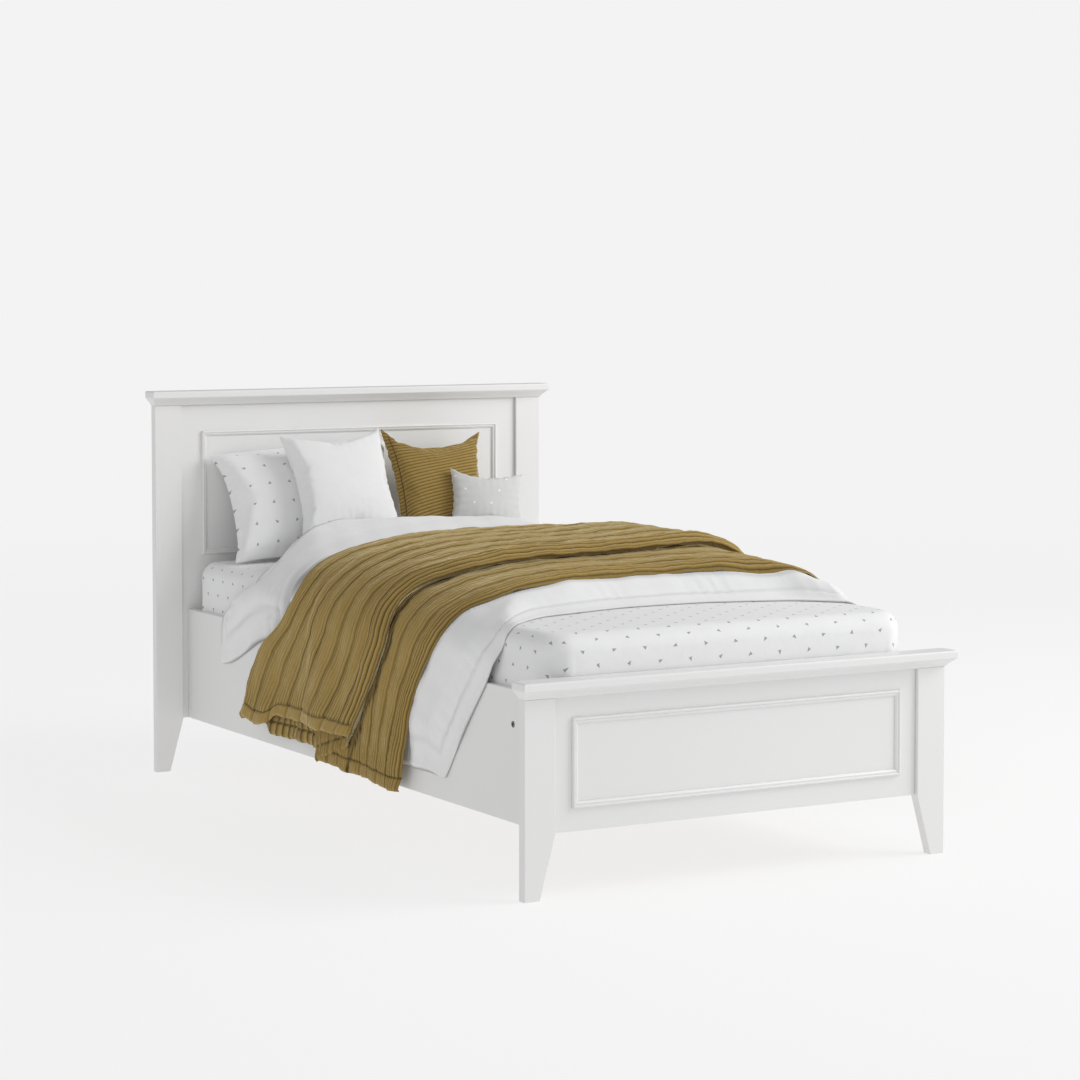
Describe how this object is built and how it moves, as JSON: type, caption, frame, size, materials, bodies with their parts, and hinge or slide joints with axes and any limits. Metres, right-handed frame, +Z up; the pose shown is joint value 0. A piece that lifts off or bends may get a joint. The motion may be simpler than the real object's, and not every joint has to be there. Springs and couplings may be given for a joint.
{
  "type": "single bed with bedding",
  "caption": "Painted panelled single bed with moulded caps, tapered legs and a slatted base, made up with mattress, sheet, duvet, folded throw and cushions.",
  "frame": {"origin": "on the floor under the middle of the bed's overall length and width", "axes": "+Z up, -Y towards the foot of the bed, +Y towards the headboard, +X towards the right side seen from the foot"},
  "size_m": [1.272, 2.096, 1.075],
  "materials": {
    "white_paint": "satin white paint on wood",
    "bare_wood": "planed, unpainted",
    "dark_steel": "dark plated",
    "zinc_steel": "zinc plated",
    "mattress_ticking": "woven mattress cover",
    "printed_cotton": "white cotton printed with small grey marks",
    "white_cotton": "plain white cotton",
    "ochre_quilt": "ribbed ochre cotton",
    "grey_cotton": "light grey cotton with small white triangles"
  },
  "bodies": {
    "root": {"footboard_leg_right": "white_paint", "footboard_leg_left": "white_paint", "footboard_panel": "white_paint", "footboard_cap": "white_paint", "footboard_bead_bottom": "white_paint", "footboard_bead_top": "white_paint", "footboard_bead_right": "white_paint", "footboard_bead_left": "white_paint", "headboard_leg_right": "white_paint", "headboard_leg_left": "white_paint", "headboard_panel": "white_paint", "headboard_cap": "white_paint", "headboard_bead_bottom": "white_paint", "headboard_bead_top": "white_paint", "headboard_bead_right": "white_paint", "headboard_bead_left": "white_paint", "side_rail_right": "white_paint", "side_rail_left": "white_paint", "slat_ledger_right": "bare_wood", "slat_ledger_left": "bare_wood", "ledger_bolt_1_right": "dark_steel", "ledger_bolt_1_left": "dark_steel", "ledger_bolt_2_right": "dark_steel", "ledger_bolt_2_left": "dark_steel", "ledger_bolt_3_right": "dark_steel", "ledger_bolt_3_left": "dark_steel", "ledger_bolt_4_right": "dark_steel", "ledger_bolt_4_left": "dark_steel", "slat_01": "bare_wood", "slat_02": "bare_wood", "slat_03": "bare_wood", "slat_04": "bare_wood", "slat_05": "bare_wood", "slat_06": "bare_wood", "slat_07": "bare_wood", "slat_08": "bare_wood", "slat_09": "bare_wood", "slat_10": "bare_wood", "slat_11": "bare_wood", "slat_12": "bare_wood", "corner_iron_foot_right": "zinc_steel", "corner_iron_foot_left": "zinc_steel", "corner_iron_head_right": "zinc_steel", "corner_iron_head_left": "zinc_steel", "iron_bolt_foot_right": "dark_steel", "iron_bolt_foot_left": "dark_steel", "iron_bolt_head_right": "dark_steel", "iron_bolt_head_left": "dark_steel", "mattress": "mattress_ticking", "fitted_sheet": "printed_cotton", "duvet": "white_cotton", "throw": "ochre_quilt", "pillow_patterned": "printed_cotton", "cushion_white": "white_cotton", "cushion_ochre": "ochre_quilt", "cushion_grey": "grey_cotton"}
  },
  "joints": []
}
